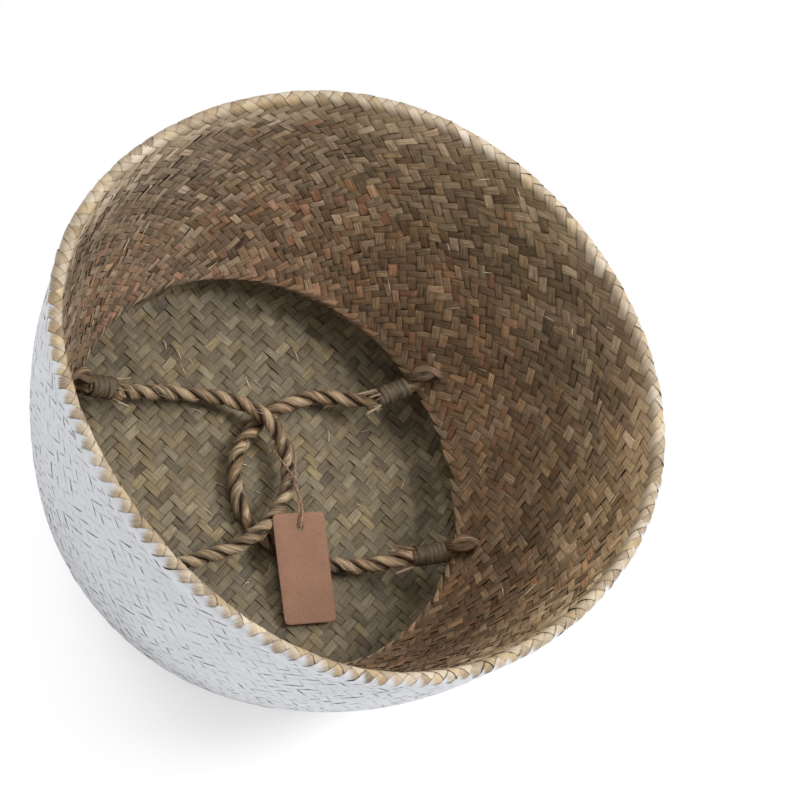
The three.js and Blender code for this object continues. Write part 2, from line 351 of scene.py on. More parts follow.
bindingStops = [
    (0.15, (0.030, 0.021, 0.012)),
    (0.5, (0.082, 0.060, 0.035)),
    (0.9, (0.20, 0.150, 0.090)),
]
cardStops = [
    (0.3, (0.178, 0.088, 0.052)),
    (0.5, (0.233, 0.122, 0.075)),
    (0.72, (0.28, 0.156, 0.100)),
]


# Seagrass: every strand has its own tone, fine fibres along it and painted shade at its edges

seagrass = {
    "stain": 0.25,
    "blotches": 0.22,
    "yellow": (1.07, 0.99, 0.80),
    "pink": (1.02, 0.92, 1.10),
    "brown": (0.90, 0.81, 0.67),
    "paint": ((0.59, 0.60, 0.625), (0.70, 0.71, 0.735)),
    "bumpHeight": 0.0006,
}


def seagrassFinish(name, dry, warm=None, fibres=(1.3, 6.5), relief=0.6, edge=0, grain=1.9, flush=0):
    finish = Finish(name)
    along, across = finish.strandPlace()
    tone, spot = finish.attribute("tone"), finish.attribute("spot")
    long, wide = fibres
    streakPlace = finish.vector(along * long + spot * 37, across * wide + tone * 91, spot * 53)
    streak = finish.noise(streakPlace, 1, 3, 0.65)
    finePlace = finish.vector(along * long * 2.2 + spot * 19, across * wide * 3.1, spot * 71)
    fine = finish.noise(finePlace, 1, 2, 0.6)
    patch = finish.noise(finish.objectPlace(), 16)
    blotch = finish.noise(finish.objectPlace(), 190)
    fibre = streak * 0.6 + fine * 0.4
    value = tone * 0.6 + (fibre - 0.5) * grain + 0.23
    value = value + (patch - 0.5) * seagrass["stain"] + (blotch - 0.5) * seagrass["blotches"]
    colour = finish.ramp(dry, value)
    # Some strands are yellower, and the warm ones turn from orange to pink
    yellow = (spot * 57.3).math("FRACT").spread(0.5, 1) * 0.8
    colour = finish.mixed(yellow, colour, finish.times(colour, seagrass["yellow"]))
    if warm:
        share = finish.attribute("warm") + (blotch - 0.5) * 0.5 + (patch - 0.42) * flush
        orange = finish.ramp(warm, value)
        pinker = (spot * 31.7).math("FRACT").spread(0.45, 1)
        orange = finish.mixed(pinker, orange, finish.times(orange, seagrass["pink"]))
        colour = finish.mixed(share.clamped(0, 1), colour, orange)
    # Painted shade: the long edges and the ends of every float are darker, where the neighbouring floats
    # shade it
    shade = 1 - (across.edges(13) * edge + along.edges(7) * edge).clamped(0, 0.88)
    roughness = (fibre * 0.5 + 0.35).clamped(0.35, 0.9)
    normal = finish.bumped(fibre * 0.85 + blotch * 0.15, relief, seagrass["bumpHeight"])
    return finish, finish.times(colour, shade), roughness, normal


def plainSeagrass(name, *stops, **more):
    finish, *looks = seagrassFinish(name, *stops, **more)
    return finish.finished(*looks)


# Painted shade: a dark sheet behind the floats stands for the shaded strands under them, darker in small
# specks
def gapShadeFinish(name, colour):
    finish = Finish(name)
    shadeSpeckle = finish.noise(finish.objectPlace(), 260, 3)
    shade = finish.mixed(shadeSpeckle, tuple(part * 0.5 for part in colour), colour)
    return finish.finished(shade, 0.9, finish.bumped(shadeSpeckle, 0.3, 0.0005))


def paintedFinish():
    looks = seagrassFinish("paint over seagrass", rimStops, relief=0.4, edge=0.9, grain=0.95)
    finish, bare, roughness, normal = looks
    along, across = finish.strandPlace()
    home, spot = finish.attribute("home"), finish.attribute("spot")
    drift = finish.noise(finish.objectPlace(), 60)
    bristle = finish.noise(finish.vector(along * 0.8 + spot * 31, across * 14, spot * 9), 1, 2, 0.7)
    fleck = finish.noise(finish.objectPlace(), 620)
    # The paint reaches higher at the front left than at the back, but never over the tips on the rim
    left = finish.facing((-0.8, -0.6, 0)).spread(0.08, 0.16)
    back = finish.facing((-0.4, 0.9, 0)).spread(0.04, 0.13)
    reached = home + (along - 0.5) * 1.6 + (spot - 0.5) * 0.3
    reached = reached + (drift - 0.5) * 0.8 + (bristle - 0.5) * 0.5
    bareTip = along.spread(0.5, 0.74) * home.spread(-1.0, -0.5)
    cover = (reached - left * 0.2 + back * 0.35).spread(-0.06, -0.36) * (1 - bareTip)
    wear = (fleck + (drift - 0.5) * 0.3).spread(0.82, 0.72)
    paint = finish.mixed(finish.noise(finish.objectPlace(), 36, 3), *seagrass["paint"])
    # The paint has not filled every seam: short thin lines of painted shade stay along the edges of the
    # strands, every edge gets a little painted shade, and brush streaks vary the paint
    openSeamShade = finish.noise(finish.vector(along * 3.1 + spot * 17, spot * 29), 1, 1).spread(0.48, 0.58)
    sides = across.edges(13)
    shade = 1 - (sides * openSeamShade * 0.85 + sides * 0.1 + (bristle - 0.5) * 0.16).clamped(0, 0.85)
    colour = finish.mixed(cover * wear, bare, finish.times(paint, shade))
    return finish.finished(colour, roughness, normal)


def wallFinish():
    looks = seagrassFinish("natural seagrass", naturalStops, warmStops, edge=0.8)
    finish, colour, roughness, normal = looks
    row, home, spot, tone = (finish.attribute(name) for name in ("row", "home", "spot", "tone"))
    # Floats next to the rim are paler, less so on the right-hand side, and the right-hand half is
    # browner
    right = finish.facing((1, 0, 0)).spread(-0.12, 0.16)
    paleNearRim = (home + spot * 1.3).spread(4.7, 4.3) * (1 - right * 0.6)
    grey = finish.node("RGBToBW", {}, {0: colour})
    light = finish.ramp(rimStops, grey * 2.2 + tone * 0.3 + 0.1)
    colour = finish.mixed(paleNearRim * 0.8, colour, light)
    colour = finish.mixed(right, colour, finish.times(colour, seagrass["brown"]))
    # Painted light: the lower right of the inside is lighter near the rim and a little darker near the
    # neck, the back of the inside is lighter, and the right-hand half gets a little painted shade
    front = finish.facing((0.7, -0.7, 0)).spread(0.1, 0.17)
    back = finish.facing((0.2, 1, 0)).spread(0.08, 0.18)
    level = 1 + front * row.spread(17, 5, -0.2, 1.0) + back * 0.26 - right * 0.08
    return finish.finished(finish.times(colour, level), roughness, normal)


def cardFinish():
    finish = Finish("brown card")
    pulp = finish.noise(finish.objectPlace(), 900, 4, 0.65)
    cloud = finish.noise(finish.objectPlace(), 60)
    colour = finish.ramp(cardStops, pulp * 0.75 + cloud * 0.25)
    return finish.finished(colour, 0.78, finish.bumped(pulp, 0.15, 0.0002))


finishes = {
    "natural": wallFinish(),
    "painted": paintedFinish(),
    "olive": plainSeagrass("olive seagrass", oliveStops, edge=0.8),
    "rope": plainSeagrass(
        "rope seagrass", ropeStops, ropeWarmStops, fibres=(0.7, 11), relief=1.0, grain=2.5, flush=2.4
    ),
    "eye": plainSeagrass("rope through the wall", eyeStops, fibres=(0.7, 11), relief=1.0, grain=2.4),
    "binding": plainSeagrass("binding strand", bindingStops, fibres=(0.7, 5), relief=0.9),
    "twine": plainSeagrass("twine", twineStops, fibres=(0.6, 5), relief=0.9, grain=1.6),
    # The four backs below are painted shade behind the floats
    "gapShade": gapShadeFinish("painted shade between strands", (0.05, 0.034, 0.02)),
    "oliveGapShade": gapShadeFinish("painted shade under the mat", (0.032, 0.027, 0.015)),
    "paintedGapShade": gapShadeFinish("painted shade under the paint", (0.30, 0.30, 0.31)),
    "rimGapShade": gapShadeFinish("painted shade under the rim", (0.20, 0.15, 0.10)),
    "sliver": plainSeagrass("dry sliver and painted highlight", [(0.2, (0.55, 0.47, 0.33)), (0.8, (0.8, 0.72, 0.55))]),
    "card": cardFinish(),
}
print("finishes made")


# The shape that all the weave follows, with places on it counted in strands round it and rows of floats

basket = {
    "rimRadius": 0.190,
    "foldHeight": 0.166,
    "baseRadius": 0.139,
    "cornerRadius": 0.009,
    "matThickness": 0.004,
    "wallThickness": 0.0026,
    "foldGap": 0.0012,
    "wallTopInset": 0.001,
    "lipHeight": 0.016,
    "bellyPower": 1.8,
    "neckRadius": 0.1295,
    "neckHeight": 0.032,
    "neckShift": -0.0025,
    "funnelPower": 1.15,
    "hemWidth": 0.008,
    "hemThickness": 0.0042,
    "rimSwells": ((0.0078, 2, 13.6), (0.0023, 3, 9.7)),
    "rimWaves": ((0.0064, 2, 49.1), (0.0061, 3, -36.6)),
    "settlePower": 1.5,
    "leastHeight": 0.0002,
    "strands": 126,
    "topRow": 0.25,
    "quietRows": 5,
    "rowHeights": (
        (-40, 1.0), (-7.5, 1.0), (-4.5, 0.8), (-2.6, 0.6), (-1.75, 0.6), (-1.5, 1.4), (-0.2, 1.4),
        (0.02, 0.85), (1.0, 0.85), (1.15, 0.66), (2.2, 0.66), (5, 0.7), (8, 0.75), (11, 0.83), (14, 0.9),
        (18, 1.0),
    ),
    "rowDrift": ((0.16, 5, 20), (0.1, 9, 70), (0.05, 17, 10)),
    "strandDrift": ((0.13, 4, 50), (0.1, 7, 10), (0.05, 15, 33)),
    "driftLean": (0.11, 0.17),
    "skew": 0.1,
}
basket["hemTop"] = basket["neckHeight"] + basket["hemWidth"] * 0.87
rollRadius = basket["wallThickness"] + basket["foldGap"]


def ripple(swells, turn):
    return sum(size * np.cos(lobes * (turn - math.radians(crest))) for size, lobes, crest in swells)


def settled(turn, radius, height, grip, shift):
    radius = radius * (1 + grip * ripple(basket["rimSwells"], turn) / basket["rimRadius"])
    height = height + grip * ripple(basket["rimWaves"], turn)
    x, y = polar(radius, turn)
    return stacked(x + shift, y, height)


def lowerGrip(height):
    return np.clip(height / basket["foldHeight"], 0, 1) ** basket["settlePower"]


def foldedShare(height):
    drop = basket["foldHeight"] - basket["neckHeight"]
    return np.clip((basket["foldHeight"] - height) / drop, 0, 1)


def upperGrip(height):
    return (1 - foldedShare(height)) ** basket["settlePower"]


def lowerRadius(height):
    share = np.clip(height / basket["foldHeight"], 0, 1)
    top = basket["rimRadius"] - basket["wallTopInset"]
    lip = np.clip((height - basket["foldHeight"] + basket["lipHeight"]) / basket["lipHeight"], 0, 1)
    lip = lip * lip * (3 - 2 * lip)
    belly = (top - basket["baseRadius"]) * (1 - (1 - share) ** basket["bellyPower"])
    return basket["baseRadius"] + belly + (basket["rimRadius"] + rollRadius - top) * lip


def upperRadius(height):
    top = basket["rimRadius"] - rollRadius
    return top - (top - basket["neckRadius"]) * foldedShare(height) ** basket["funnelPower"]


class WallPath:
    # The wall's section from the base, up the outside, over the fold and down the inside to the neck

    def __init__(self):
        corner = np.linspace(0, 1, 8)[:-1, None]
        start = np.array([basket["baseRadius"] - basket["cornerRadius"], 0])
        bend = np.array([basket["baseRadius"], 0])
        end = np.array([lowerRadius(basket["cornerRadius"]), basket["cornerRadius"]])
        turned = start * (1 - corner) ** 2 + bend * 2 * corner * (1 - corner) + end * corner**2
        up = np.linspace(basket["cornerRadius"], basket["foldHeight"], 60)
        outside = stacked(lowerRadius(up), up)
        angle = np.linspace(0, math.pi, 15)[1:-1]
        arc = stacked(*polar(rollRadius, angle)) + (basket["rimRadius"], basket["foldHeight"])
        edge = basket["hemThickness"] / 2
        down = np.linspace(basket["foldHeight"], basket["neckHeight"] + edge, 70)
        thicker = np.clip((basket["hemTop"] + 0.002 - down) / 0.003, 0, 1)
        inside = stacked(upperRadius(down) - thicker * (edge - basket["wallThickness"] / 2), down)
        under = np.linspace(math.pi, math.tau, 12)[1:]
        hemmed = inside[-1] + (edge, 0) + stacked(*polar(edge, under))
        back = hemmed[-1] + stacked(np.linspace(0.0004, 0.003, 6), np.linspace(0.001, 0.006, 6))
        points = np.concatenate([turned, outside, arc, inside, hemmed, back])
        outer = len(turned) + len(outside)
        inner = outer + len(arc)
        self.grip = np.ones(len(points))
        self.grip[:outer] = lowerGrip(points[:outer, 1])
        self.grip[inner:] = upperGrip(points[inner:, 1])
        self.shift = np.zeros(len(points))
        self.shift[inner:] = basket["neckShift"] * foldedShare(points[inner:, 1])
        slope = unit(np.gradient(points, axis=0))
        self.normal = stacked(slope[:, 1], -slope[:, 0])
        self.points = points
        step = np.linalg.norm(np.diff(points, axis=0), axis=1)
        middle = (points[1:, 0] + points[:-1, 0]) / 2
        reach = runningSum(step * basket["strands"] / (math.tau * middle))
        reach -= np.interp(math.pi / 2, angle, reach[outer:inner])
        height = np.interp(reach, *zip(*basket["rowHeights"]))
        rows = runningSum(np.diff(reach) * 2 / (height[1:] + height[:-1]))
        self.rows = rows - np.interp(0, reach, rows) + basket["topRow"]
        self.first, self.last = self.rows[0], self.rows[-1]
        self.rimStart, self.rimEnd = self.rows[outer], self.rows[inner - 1]
        insideRows = self.rows[inner : inner + len(inside)]
        self.hemTop = np.interp(-basket["hemTop"], -down, insideRows)
        self.neck = insideRows[-1]

    def at(self, strand, row, lift):
        turn = strand * math.tau / basket["strands"]
        quiet, (rowLean, strandLean) = basket["quietRows"], basket["driftLean"]
        slack = np.clip((self.last - row) / quiet, 0, 1) * np.clip((row - self.first) / quiet, 0, 1)
        fromTop = np.clip(np.abs(row - basket["topRow"]) / 3, 0, 1)
        row = row + slack * fromTop * ripple(basket["rowDrift"], turn + row * rowLean)
        above = np.maximum(row - basket["topRow"], 0)
        strand = strand + above * basket["skew"] * np.maximum(np.cos(turn - 0.1), 0) ** 2
        strand = strand + slack * ripple(basket["strandDrift"], turn + row * strandLean)
        turn = strand * math.tau / basket["strands"]

        def along(values):
            return np.interp(row, self.rows, values)

        radius = along(self.points[:, 0]) + lift * along(self.normal[:, 0])
        height = along(self.points[:, 1]) + lift * along(self.normal[:, 1])
        return settled(turn, radius, height, along(self.grip), along(self.shift))


wall = WallPath()
print("wall path laid,", len(wall.rows), "points")

weave = {
    "along": 8,
    "across": 3,
    "length": 1.2,
    "width": 1.03,
    "fill": 1.0,
    "slim": 0.1,
    "crest": 0.0004,
    "dip": 0.0015,
    "curl": 0.00013,
    "tilt": 0.0007,
    "loose": 1.0,
    "strandShare": 0.45,
    "backSides": 128,
    "sunk": 0.0009,
}
rng = np.random.default_rng(11)
draw = rng.uniform
strandTones = rng.random((2, basket["strands"]))


def floatCorners():
    template = gridMesh(weave["along"], weave["across"], lambda a, b: stacked(a, b, 0), seams=False)
    along, across = cornersOf(template)[:, :2].T - 0.5
    along = np.sign(along) * (1 - (1 - np.abs(2 * along)) ** 1.6) / 2  # closer loops at the ends
    return template, along, across


def floatsMesh(floats, wrap, **changes):
    # floats has one row for each: strand place, row place, lean (1 or -1), tone, warmth
    kind = {**weave, **changes}
    template, along, across = floatCorners()
    count, corners = len(floats), len(along)

    def each(low, high):
        return draw(low, high, (count, 1))

    lean = floats[:, 2:3]
    length = 2 * kind["length"] * each(0.94, 1.05)
    slimness = each(0, 1) ** 3 * np.where(lean < 0, kind["slim"], kind["slim"] * 0.5)
    width = kind["width"] * kind["fill"] * each(0.97, 1.04) * (1 - slimness)
    askew = each(-0.04, 0.04) * kind["loose"]
    alongAt = along * length + each(-0.06, 0.06) * kind["loose"]
    acrossAt = across * width * (1 + 0.1 * np.abs(along)) + along * askew * 2
    strand = floats[:, 0:1] + (alongAt + lean * acrossAt) / 2
    row = floats[:, 1:2] + lean * (alongAt - lean * acrossAt) / 2
    lift = kind["crest"] * each(0.5, 1.3) - kind["dip"] * np.abs(2 * along) ** 8
    lift = lift - kind["curl"] * (2 * across) ** 2 + across * each(-kind["tilt"], kind["tilt"])
    mesh = joined("floats", [template] * count)
    setCorners(mesh, wrap(strand.ravel(), row.ravel(), lift.ravel()))
    setAttributes(
        mesh,
        tone=np.repeat(floats[:, 3], corners),
        warm=np.repeat(floats[:, 4], corners),
        spot=np.repeat(rng.random(count), corners),
        row=row.ravel(),
        home=np.repeat(floats[:, 1], corners),
    )
    mesh.update()
    return mesh


def floatTone(strandTone):
    return strandTone * weave["strandShare"] + rng.random() * (1 - weave["strandShare"])


def wallFloats(low, high):
    # Two leaning rows by turns, each float on its own strand
    floats = []
    strands = basket["strands"]
    for row in np.arange(math.ceil(low + 0.25) - 0.25, high, 1.0):
        lean = 1 if abs((row + 0.25) % 2) < 0.01 else -1
        part = 0.25 if lean > 0 else 0.75
        for k in range(strands):
            place = k + part
            strand = math.floor(place - lean * row) % strands
            tone = floatTone(strandTones[(lean + 1) // 2][strand])
            near = min(max((row - 9) / 6, 0), 1) * (0.8 + 0.2 * math.sin(k * 0.31))
            warmth = near * (0.7 if lean < 0 and strand % 2 else 0.2) + 0.08
            if rng.random() < 0.03 + 0.12 * near:
                warmth += 0.6
            floats.append((place, row, lean, tone, warmth * draw(0.6, 1.1)))
    return np.array(floats)


def ringBody(section):
    # A closed ring of (row, lift) corners
    corners = [*section, section[0]]

    def place(turn, edge):
        return wall.at(turn * basket["strands"], *picked(corners, edge))

    return gridMesh(weave["backSides"], len(section), place)


def wallSection(low, high, back, steps=12, sunk=weave["sunk"]):
    rows = np.linspace(low, high, steps)
    return [(row, -sunk) for row in rows] + [(row, -back) for row in rows[::-1]]


def addWeave(name, skins, back, looks, node):
    # The back behind the floats takes the second finish, a sheet of painted shade
    setAttributes(back, tone=0.4)
    useSecondFinish(back)
    addPiece(name, [*skins, back], looks, "basket", node)


def weaveLowerWall():
    floats = wallFloats(wall.first + 0.35, -1)
    skin = floatsMesh(floats, wall.at, crest=0.0003, dip=0.0008, tilt=0.0003, slim=0.03, loose=0.4)
    corners = cornersOf(skin)
    corners[:, 2] = np.maximum(corners[:, 2], basket["leastHeight"])
    setCorners(skin, corners)
    section = wallSection(wall.first, wall.rimStart, basket["wallThickness"] * 1.1, 16, sunk=0.0005)
    back = ringBody(section)
    addWeave("lowerWallWeave", [skin], back, ["painted", "paintedGapShade"], "lower_wall")


def weaveRim():
    skin = floatsMesh(wallFloats(-1, 1), wall.at, crest=0.0005, dip=0.0009, slim=0.03, fill=0.98)
    section = [(row, -weave["sunk"]) for row in np.linspace(wall.rimStart, wall.rimEnd, 9)]
    section += [(row, -rollRadius * 0.9) for row in (wall.rimEnd, wall.rimStart)]
    addWeave("rimWeave", [skin], ringBody(section), ["painted", "rimGapShade"], "rim_fold")


def weaveUpperWall():
    skin = floatsMesh(wallFloats(1, wall.hemTop - 0.3), wall.at)
    back = ringBody(wallSection(wall.rimEnd, wall.hemTop, basket["wallThickness"]))
    addWeave("upperWallWeave", [skin], back, ["natural", "gapShade"], "upper_wall")


hem = {
    "apart": 1.4,
    "edge": 0.2,
    "reach": (1.5, 1.9),
    "rise": (0.5, 0.8),
    "width": (0.6, 0.85),
    "frontRise": (0.25, 0.6),
    "narrowing": 0.92,
    "lift": 0.0008,
    "dip": 0.0018,
    "curl": 0.0002,
    "row": 9,
}


def hemPoints():
    # Strands cut off slantwise at the edge, each one narrowing to a point
    template, along, across = floatCorners()
    made = []
    edge, step = wall.neck - hem["edge"], 0.3
    for k in np.arange(0, basket["strands"], hem["apart"]):
        mesh = template.copy()
        reach, rise = draw(*hem["reach"]), draw(*hem["rise"])
        narrow = 1 - hem["narrowing"] * (along + 0.5) ** 2.2
        strand = k + draw(-0.15, 0.15) + along * reach
        front = max(0, math.cos(k * math.tau / basket["strands"] + 0.8))
        row = edge + 0.05 + front * draw(*hem["frontRise"])
        row = row - rise * (0.5 - along) + across * narrow * draw(*hem["width"])
        lift = hem["lift"] + draw(0, 0.0004) - hem["dip"] * np.maximum(0, -2 * along) ** 4
        lift = lift - hem["curl"] * (2 * across) ** 2
        kept = np.minimum(row, edge)
        here = wall.at(strand, kept, lift)
        ahead = (here - wall.at(strand, kept - step, lift)) / step
        setCorners(mesh, here + ahead * (row - kept)[:, None])
        tone = draw(0.3, 0.9) + front * 0.25
        warm = rng.choice((0.1, 0.35, 0.7))
        setAttributes(mesh, tone=tone, warm=warm, spot=rng.random(), row=hem["row"], home=hem["row"])
        made.append(mesh)
    return made


def weaveHem():
    skin = floatsMesh(wallFloats(wall.hemTop - 0.3, wall.last - 0.8), wall.at, dip=0.0008)
    back = ringBody(wallSection(wall.hemTop, wall.last, 0.0016, 16, sunk=0.0006))
    addWeave("hemWeave", [skin, *hemPoints()], back, ["natural", "gapShade"], "neck_hem")


weaveLowerWall()
weaveRim()
weaveUpperWall()
weaveHem()
print("walls woven")


# The base is flat twill, set a little askew, and runs a few centimetres up the inside of the wall

mat = {
    "strand": 0.0057,
    "askew": math.radians(-4),
    "radius": 0.1285,
    "underRadius": 0.1305,
    "underHeight": 0.0006,
    "back": (0.0009, 0.0028),
    "climb": 0.034,
    "lean": math.radians(68),
    "sunk": 0.0004,
    "outward": (0.86, 0.72, 0.39),
    "upward": (0.9, 0.56, 0.92),
}


def floorPlace(x, y, lift, side):
    radius, turn = np.hypot(x, y), np.arctan2(y, x)
    if side < 0:
        return stacked(x, y, mat["underHeight"] - lift)
    beyond = np.maximum(radius - mat["radius"], 0)
    bend = basket["cornerRadius"]
    lean = np.minimum(beyond / bend, 1) * mat["lean"]

    def climbed(curve, size, corner, slope):
        # Round the corner first, and then straight on up the wall
        return np.where(beyond < bend, curve * bend * size, corner * bend + (beyond - bend) * slope)

    flat = np.minimum(radius, mat["radius"])
    reach = flat + climbed(np.sin(lean), *mat["outward"]) - lift * np.sin(lean)
    height = climbed(1 - np.cos(lean), *mat["upward"]) + lift * np.cos(lean)
    return stacked(*polar(reach, turn), basket["matThickness"] - mat["sunk"] + height)


def flatTwill(reach):
    size = mat["strand"]
    span = int(reach / size) + 3
    floats = []
    tones = rng.random((2, 4 * span + 2))
    for i in range(-span, span):
        for j in range(-span, span):
            cell = (i + j) % 4
            if cell == 1:
                p, q, lean, tone = i + 0.5, j, 1, tones[0][i + span]
            elif cell == 3:
                p, q, lean, tone = i, j + 0.5, -1, tones[1][j + span]
            else:
                continue
            if math.hypot(p, q) * size < reach:
                floats.append(((p + q) / 2, (q - p) / 2, lean, floatTone(tone), 0))
    return np.array(floats)


def twillWrap(side):
    def wrap(strand, row, lift):
        p, q = strand - row, strand + row
        turn = math.radians(45) + mat["askew"]
        x = (p * math.cos(turn - math.pi / 2) + q * math.cos(turn)) * mat["strand"]
        y = (p * math.sin(turn - math.pi / 2) + q * math.sin(turn)) * mat["strand"]
        return floorPlace(x, y, lift, side)

    return wrap


def weaveMat():
    top = floatsMesh(flatTwill(mat["radius"] + mat["climb"]), twillWrap(1))
    under = floatsMesh(flatTwill(mat["underRadius"]), twillWrap(-1))
    under.flip_normals()
    low, high = mat["back"]
    corners = [(0.0001, low), (mat["underRadius"], low), (mat["underRadius"], high), (0.0001, high)]

    def disc(turn, edge):
        radius, height = picked(corners, edge)
        return stacked(*polar(radius, turn * math.tau), height)

    back = gridMesh(96, 3, disc, capped=True)
    addWeave("matWeave", [top, under], back, ["olive", "oliveGapShade"], "base_mat")


weaveMat()
print("mat woven")


# Ropes: two strands laid round each other along a route, with their ends bound over an eye in the wall

handles = {
    "half": 0.0575,
    "hingeHeight": 0.0392,
    "hinge": {"left": -0.12372, "right": 0.11899},
    "inward": {"left": 1, "right": -1},
    "tilt": math.radians(18),
    "askew": math.radians(15),
    "boundStart": 0.0099,
    "boundEnd": 0.0335,
    "boundRadius": {"left": 0.0060, "right": 0.0054},
    "diameter": 0.0098,
    "spacing": 0.0014,
    "radius": 0.00245,
    "flat": 1.32,
    "offset": 0.0023,
    "shade": 0.75,
    "lay": 0.029,
    "around": 28,
    "grooves": 0.04,
    "tones": (0.7, 0.95),
    "past": 0.0012,
    "throat": (0.0032, 0.0076, 0.0019),
    "fibres": 46,
    "fibreSpan": (0.12, 0.84),
    "fibreSteps": (3, 8),
    "fibreRadius": (0.00013, 0.0003),
    "fibreStart": 0.0046,
    "fibreRise": (0.0002, 0.0016),
}
eye = {
    "radius": 0.01145,
    "width": 0.0027,
    "start": math.radians(12),
    "sweep": math.radians(336),
    "twist": 2.1,
    "sway": 0.0004,
    "thick": 0.0019,
    "wide": 0.0030,
    "tones": {"left": (0.05, 0.4), "right": (0.15, 0.5)},
    "grooveShade": (0.0013, 0.0017),
}

# Of each pair, the first is for the nearest tail and the second is the step to the next one
tails = {
    "count": 3,
    "start": -0.004,
    "lean": (12, 5),
    "length": (0.0115, -0.002),
    "aside": (0.002, 0.0009),
    "height": (0.001, -0.0014),
    "radius": 0.0016,
}
# Where there are two ranges, the second one is for the stiff ends
frayed = {
    "count": 9,
    "stiff": 2,
    "start": -0.003,
    "reach": ((0.005, 0.014), (0.011, 0.016)),
    "splay": ((0.05, 0.32), (0.12, 0.26)),
    "radius": (0.0003, 0.0007),
    "tone": (0.5, 1.3),
    "stiffRadius": 0.0009,
    "stiffTone": 1.15,
}

leftRoute = metres(
    (-79, 58.6, 22.3), (-63.2, 60.2, 18), (-48, 61, 15.5), (-33, 60.5, 14.3), (-19, 58.5, 14.8),
    (-6.8, 54.8, 16.5), (2, 50, 18.6), (9, 45, 20), (14.5, 39.3, 20.2), (18.5, 33, 19.2),
    (21.2, 26.5, 18), (22.7, 19, 16.8), (22.9, 11, 16), (20.9, 1.4, 15.8), (17, -7.5, 16.4),
    (11, -15.5, 17.6), (3.8, -23.2, 19.2), (-5, -30.8, 20.2), (-15, -37.5, 19.8), (-25, -42.3, 18.2),
    (-36, -45.6, 16.8), (-48, -48.5, 16.6), (-61.6, -52.2, 18), (-77, -55.8, 22),
)
rightRoute = metres(
    (74, 51.8, 22.6), (62.5, 56, 17.4), (51.6, 57.7, 13.6), (41.4, 56, 11.2), (30.5, 52.6, 9.8),
    (21.1, 47.8, 9.3), (13.5, 42.6, 9.3), (6.5, 37, 9.6), (-1, 30, 10.3), (-7, 21.8, 11),
    (-11, 13, 11.4), (-13.3, 4.2, 11.5), (-14.2, -4.2, 11.3), (-13.6, -12, 10.8), (-11.6, -19.5, 10),
    (-7.8, -26.2, 9.4), (-2.5, -32.4, 9.3), (5, -38.8, 9.3), (13, -43.6, 9.3), (21.5, -47.5, 9.3),
    (31, -50.4, 9.5), (41, -53.2, 10.6), (50, -55.6, 12.6), (60, -57.2, 15.8), (74, -57.6, 22),
)


def smoothPath(points, spacing):
    # Centripetal curve through the points, sampled evenly
    points = [Vector(p) for p in points]
    points = [points[0] * 2 - points[1], *points, points[-1] * 2 - points[-2]]
    curve = []
    for a, b, c, d in zip(points, points[1:], points[2:], points[3:]):
        t1 = (b - a).length ** 0.5
        t2 = t1 + (c - b).length ** 0.5
        t3 = t2 + (d - c).length ** 0.5
        for k in range(12):
            t = t1 + (t2 - t1) * k / 12
            ab = a.lerp(b, t / t1)
            bc = b.lerp(c, (t - t1) / (t2 - t1))
            cd = c.lerp(d, (t - t2) / (t3 - t2))
            abc = ab.lerp(bc, t / t2)
            bcd = bc.lerp(cd, (t - t1) / (t3 - t1))
            curve.append(abc.lerp(bcd, (t - t1) / (t2 - t1)))
    curve = np.array([*curve, points[-2]])
    gone = distances(curve)
    at = np.linspace(0, gone[-1], max(3, round(gone[-1] / spacing)))
    return stacked(*(np.interp(at, gone, column) for column in curve.T)), gone[-1]


def carriedFrames(path):
    # Two side directions carried along the path without twist
    slope = unit(np.gradient(path, axis=0))
    side = np.cross(slope[0], (0.1, 0.3, 0.9))
    sides = []
    for ahead in slope:
        side = side - ahead * np.dot(side, ahead)
        side = side / np.linalg.norm(side)
        sides.append(side)
    return np.array(sides), np.cross(slope, sides)


def spokes(sides, ups, turn):
    return sides * np.cos(turn)[:, None] + ups * np.sin(turn)[:, None]


def tubeMesh(path, radius, around, tone, grooves=0.0, squash=1.0, taper=0.0, frames=None, sunk=0.0):
    sides, ups = frames or carriedFrames(path)
    steps = len(path) - 1
    phase = rng.random(4) * 6.28
    knots = np.arange(0, len(path) + 9, 9)
    uneven = np.interp(np.arange(len(path)), knots, draw(-1, 1, len(knots)))

    def place(along, angle):
        k = np.rint(along * steps).astype(int)
        turn = angle * math.tau
        groove = np.sin(5 * turn + phase[0] + along * 9) + np.sin(8 * turn + phase[1] - along * 14) * 0.7
        size = radius * (1 + grooves * groove + uneven[k] * grooves * 0.8)
        size = size * (1 - taper * np.maximum(0, np.abs(along * 2 - 1) * steps - (steps - 3)) / 3)
        across = sides[k] * np.cos(turn)[:, None] + ups[k] * np.sin(turn)[:, None] * squash
        return path[k] + across * size[:, None]

    length = np.linalg.norm(np.diff(path, axis=0), axis=1).sum()
    mesh = gridMesh(steps, around, place, capped=True, reach=length / 0.012)
    # Painted shade: where a strand lies against the other strand its tone is darker, for the shaded
    # groove between them
    if sunk:
        corners = cornersOf(mesh)
        nearest = np.array([np.argmin(((path - corner) ** 2).sum(axis=1)) for corner in corners])
        outward = ((corners - path[nearest]) * sides[nearest]).sum(axis=1) / radius
        tone = tone - sunk * np.clip(0.75 - outward, 0, 1)
    setAttributes(mesh, tone=tone, spot=rng.random())
    return mesh


